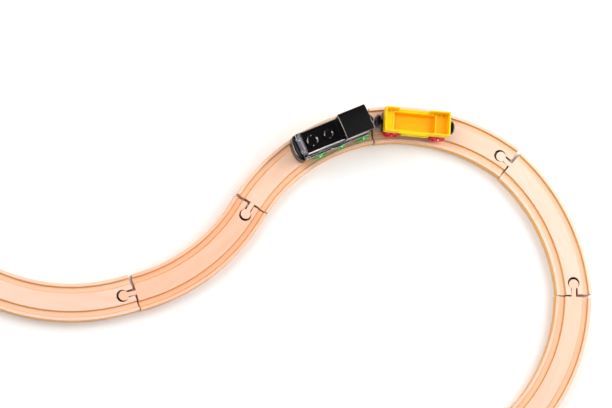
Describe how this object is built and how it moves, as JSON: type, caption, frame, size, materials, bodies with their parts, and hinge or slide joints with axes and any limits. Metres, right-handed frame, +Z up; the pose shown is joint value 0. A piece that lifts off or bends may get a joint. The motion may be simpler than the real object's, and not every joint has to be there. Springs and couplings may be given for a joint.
{
  "type": "toy train on wooden track",
  "caption": "Toy train with a battery engine and an open wagon, coupled by magnets, standing on an S-shaped run of grooved wooden curves joined by pegs and sockets.",
  "frame": {"origin": "middle of the bounding box, on the floor under the track", "axes": "+X along the longest extent of the run of track, from the peg end to the right-hand curve; +Y from the free socket end towards the train; +Z up from the floor"},
  "size_m": [0.6706, 0.393, 0.0584],
  "materials": {
    "beech": "fine sanded, uncoated",
    "gloss_black": "glossy moulded",
    "matte_black": "matte moulded",
    "lilac_grey": "glossy moulded",
    "clear_lens": "clear polished",
    "green": "glossy moulded",
    "red": "glossy moulded",
    "yellow": "semi-gloss moulded",
    "steel": "plated",
    "brass": "bare",
    "nylon": "natural",
    "cell_jacket": "plain jacket",
    "circuit_board": "lacquered"
  },
  "bodies": {
    "track": {"track_curve_a": "beech", "track_curve_b": "beech", "track_curve_c": "beech", "track_curve_d": "beech", "track_curve_e": "beech", "track_curve_f": "beech"},
    "locomotive": {"loco_battery": "cell_jacket", "loco_boiler_front": "lilac_grey", "loco_boiler_shell": "gloss_black", "loco_bumper": "gloss_black", "loco_cab_roof": "matte_black", "loco_cab_shell": "gloss_black", "loco_chassis": "gloss_black", "loco_contact_front": "brass", "loco_contact_rear": "brass", "loco_coupler_rear": "gloss_black", "loco_headlamp_far": "clear_lens", "loco_headlamp_near": "clear_lens", "loco_magnet_rear": "steel", "loco_motor": "steel", "loco_screw_front": "steel", "loco_screw_rear": "steel", "loco_switch_board": "circuit_board"},
    "loco_front_wheelset": {"loco_axle_front": "steel", "loco_wheel_front_near": "green", "loco_wheel_front_far": "green"},
    "loco_middle_wheelset": {"loco_axle_middle": "steel", "loco_wheel_middle_near": "green", "loco_wheel_middle_far": "green"},
    "loco_rear_wheelset": {"loco_axle_rear": "steel", "loco_wheel_rear_near": "green", "loco_wheel_rear_far": "green", "loco_axle_gear": "nylon"},
    "motor_pinion": {"loco_motor_pinion": "brass"},
    "front_button": {"loco_button_front": "gloss_black"},
    "rear_button": {"loco_button_rear": "gloss_black"},
    "wagon": {"wagon_body": "yellow", "wagon_coupler_front": "gloss_black", "wagon_coupler_rear": "gloss_black", "wagon_magnet_front": "steel", "wagon_magnet_rear": "steel", "wagon_screw_front": "steel", "wagon_screw_rear": "steel", "wagon_underframe": "gloss_black"},
    "wagon_front_wheelset": {"wagon_axle_front": "steel", "wagon_wheel_front_near": "red", "wagon_wheel_front_far": "red"},
    "wagon_rear_wheelset": {"wagon_axle_rear": "steel", "wagon_wheel_rear_near": "red", "wagon_wheel_rear_far": "red"}
  },
  "joints": [
    {"name": "loco_travel", "type": "hinge", "parent": "track", "child": "locomotive", "pos_m": [0.12954, -0.03152, 0], "axis": [0, 0, 1], "range_deg": [-1.2, 8.6]},
    {"name": "wagon_travel", "type": "hinge", "parent": "track", "child": "wagon", "pos_m": [0.12037, -0.03192, 0], "axis": [0, 0, 1], "range_deg": [-1.2, 8.6]},
    {"name": "loco_front_wheels_turn", "type": "hinge", "parent": "locomotive", "child": "loco_front_wheelset", "pos_m": [0.0629, 0.16591, 0.0183], "axis": [0.1977, -0.9803, 0], "continuous": true},
    {"name": "loco_middle_wheels_turn", "type": "hinge", "parent": "locomotive", "child": "loco_middle_wheelset", "pos_m": [0.08843, 0.17237, 0.0183], "axis": [0.1977, -0.9803, 0], "continuous": true},
    {"name": "loco_rear_wheels_turn", "type": "hinge", "parent": "locomotive", "child": "loco_rear_wheelset", "pos_m": [0.11446, 0.17631, 0.0183], "axis": [0.1977, -0.9803, 0], "continuous": true},
    {"name": "wagon_front_wheels_turn", "type": "hinge", "parent": "wagon", "child": "wagon_front_wheelset", "pos_m": [0.15182, 0.17405, 0.0183], "axis": [-0.2731, -0.962, 0], "continuous": true},
    {"name": "wagon_rear_wheels_turn", "type": "hinge", "parent": "wagon", "child": "wagon_rear_wheelset", "pos_m": [0.20184, 0.15985, 0.0183], "axis": [-0.2731, -0.962, 0], "continuous": true},
    {"name": "pinion_turn", "type": "hinge", "parent": "locomotive", "child": "motor_pinion", "pos_m": [0.10744, 0.1762, 0.02511], "axis": [0.1977, -0.9803, 0], "continuous": true},
    {"name": "front_button_press", "type": "slide", "parent": "locomotive", "child": "front_button", "axis": [0, 0, -1], "range_m": [0, 0.0015], "stiffness_N_per_m": 300},
    {"name": "rear_button_press", "type": "slide", "parent": "locomotive", "child": "rear_button", "axis": [0, 0, -1], "range_m": [0, 0.0015], "stiffness_N_per_m": 300}
  ],
  "couplings": [
    {"joint": "wagon_travel", "follows": "loco_travel", "ratio": 1},
    {"joint": "loco_front_wheels_turn", "follows": "loco_travel", "ratio": 23.111},
    {"joint": "loco_middle_wheels_turn", "follows": "loco_travel", "ratio": 23.111},
    {"joint": "loco_rear_wheels_turn", "follows": "loco_travel", "ratio": 23.111},
    {"joint": "wagon_front_wheels_turn", "follows": "loco_travel", "ratio": 23.111},
    {"joint": "wagon_rear_wheels_turn", "follows": "loco_travel", "ratio": 23.111},
    {"joint": "pinion_turn", "follows": "loco_travel", "ratio": -28.889}
  ]
}
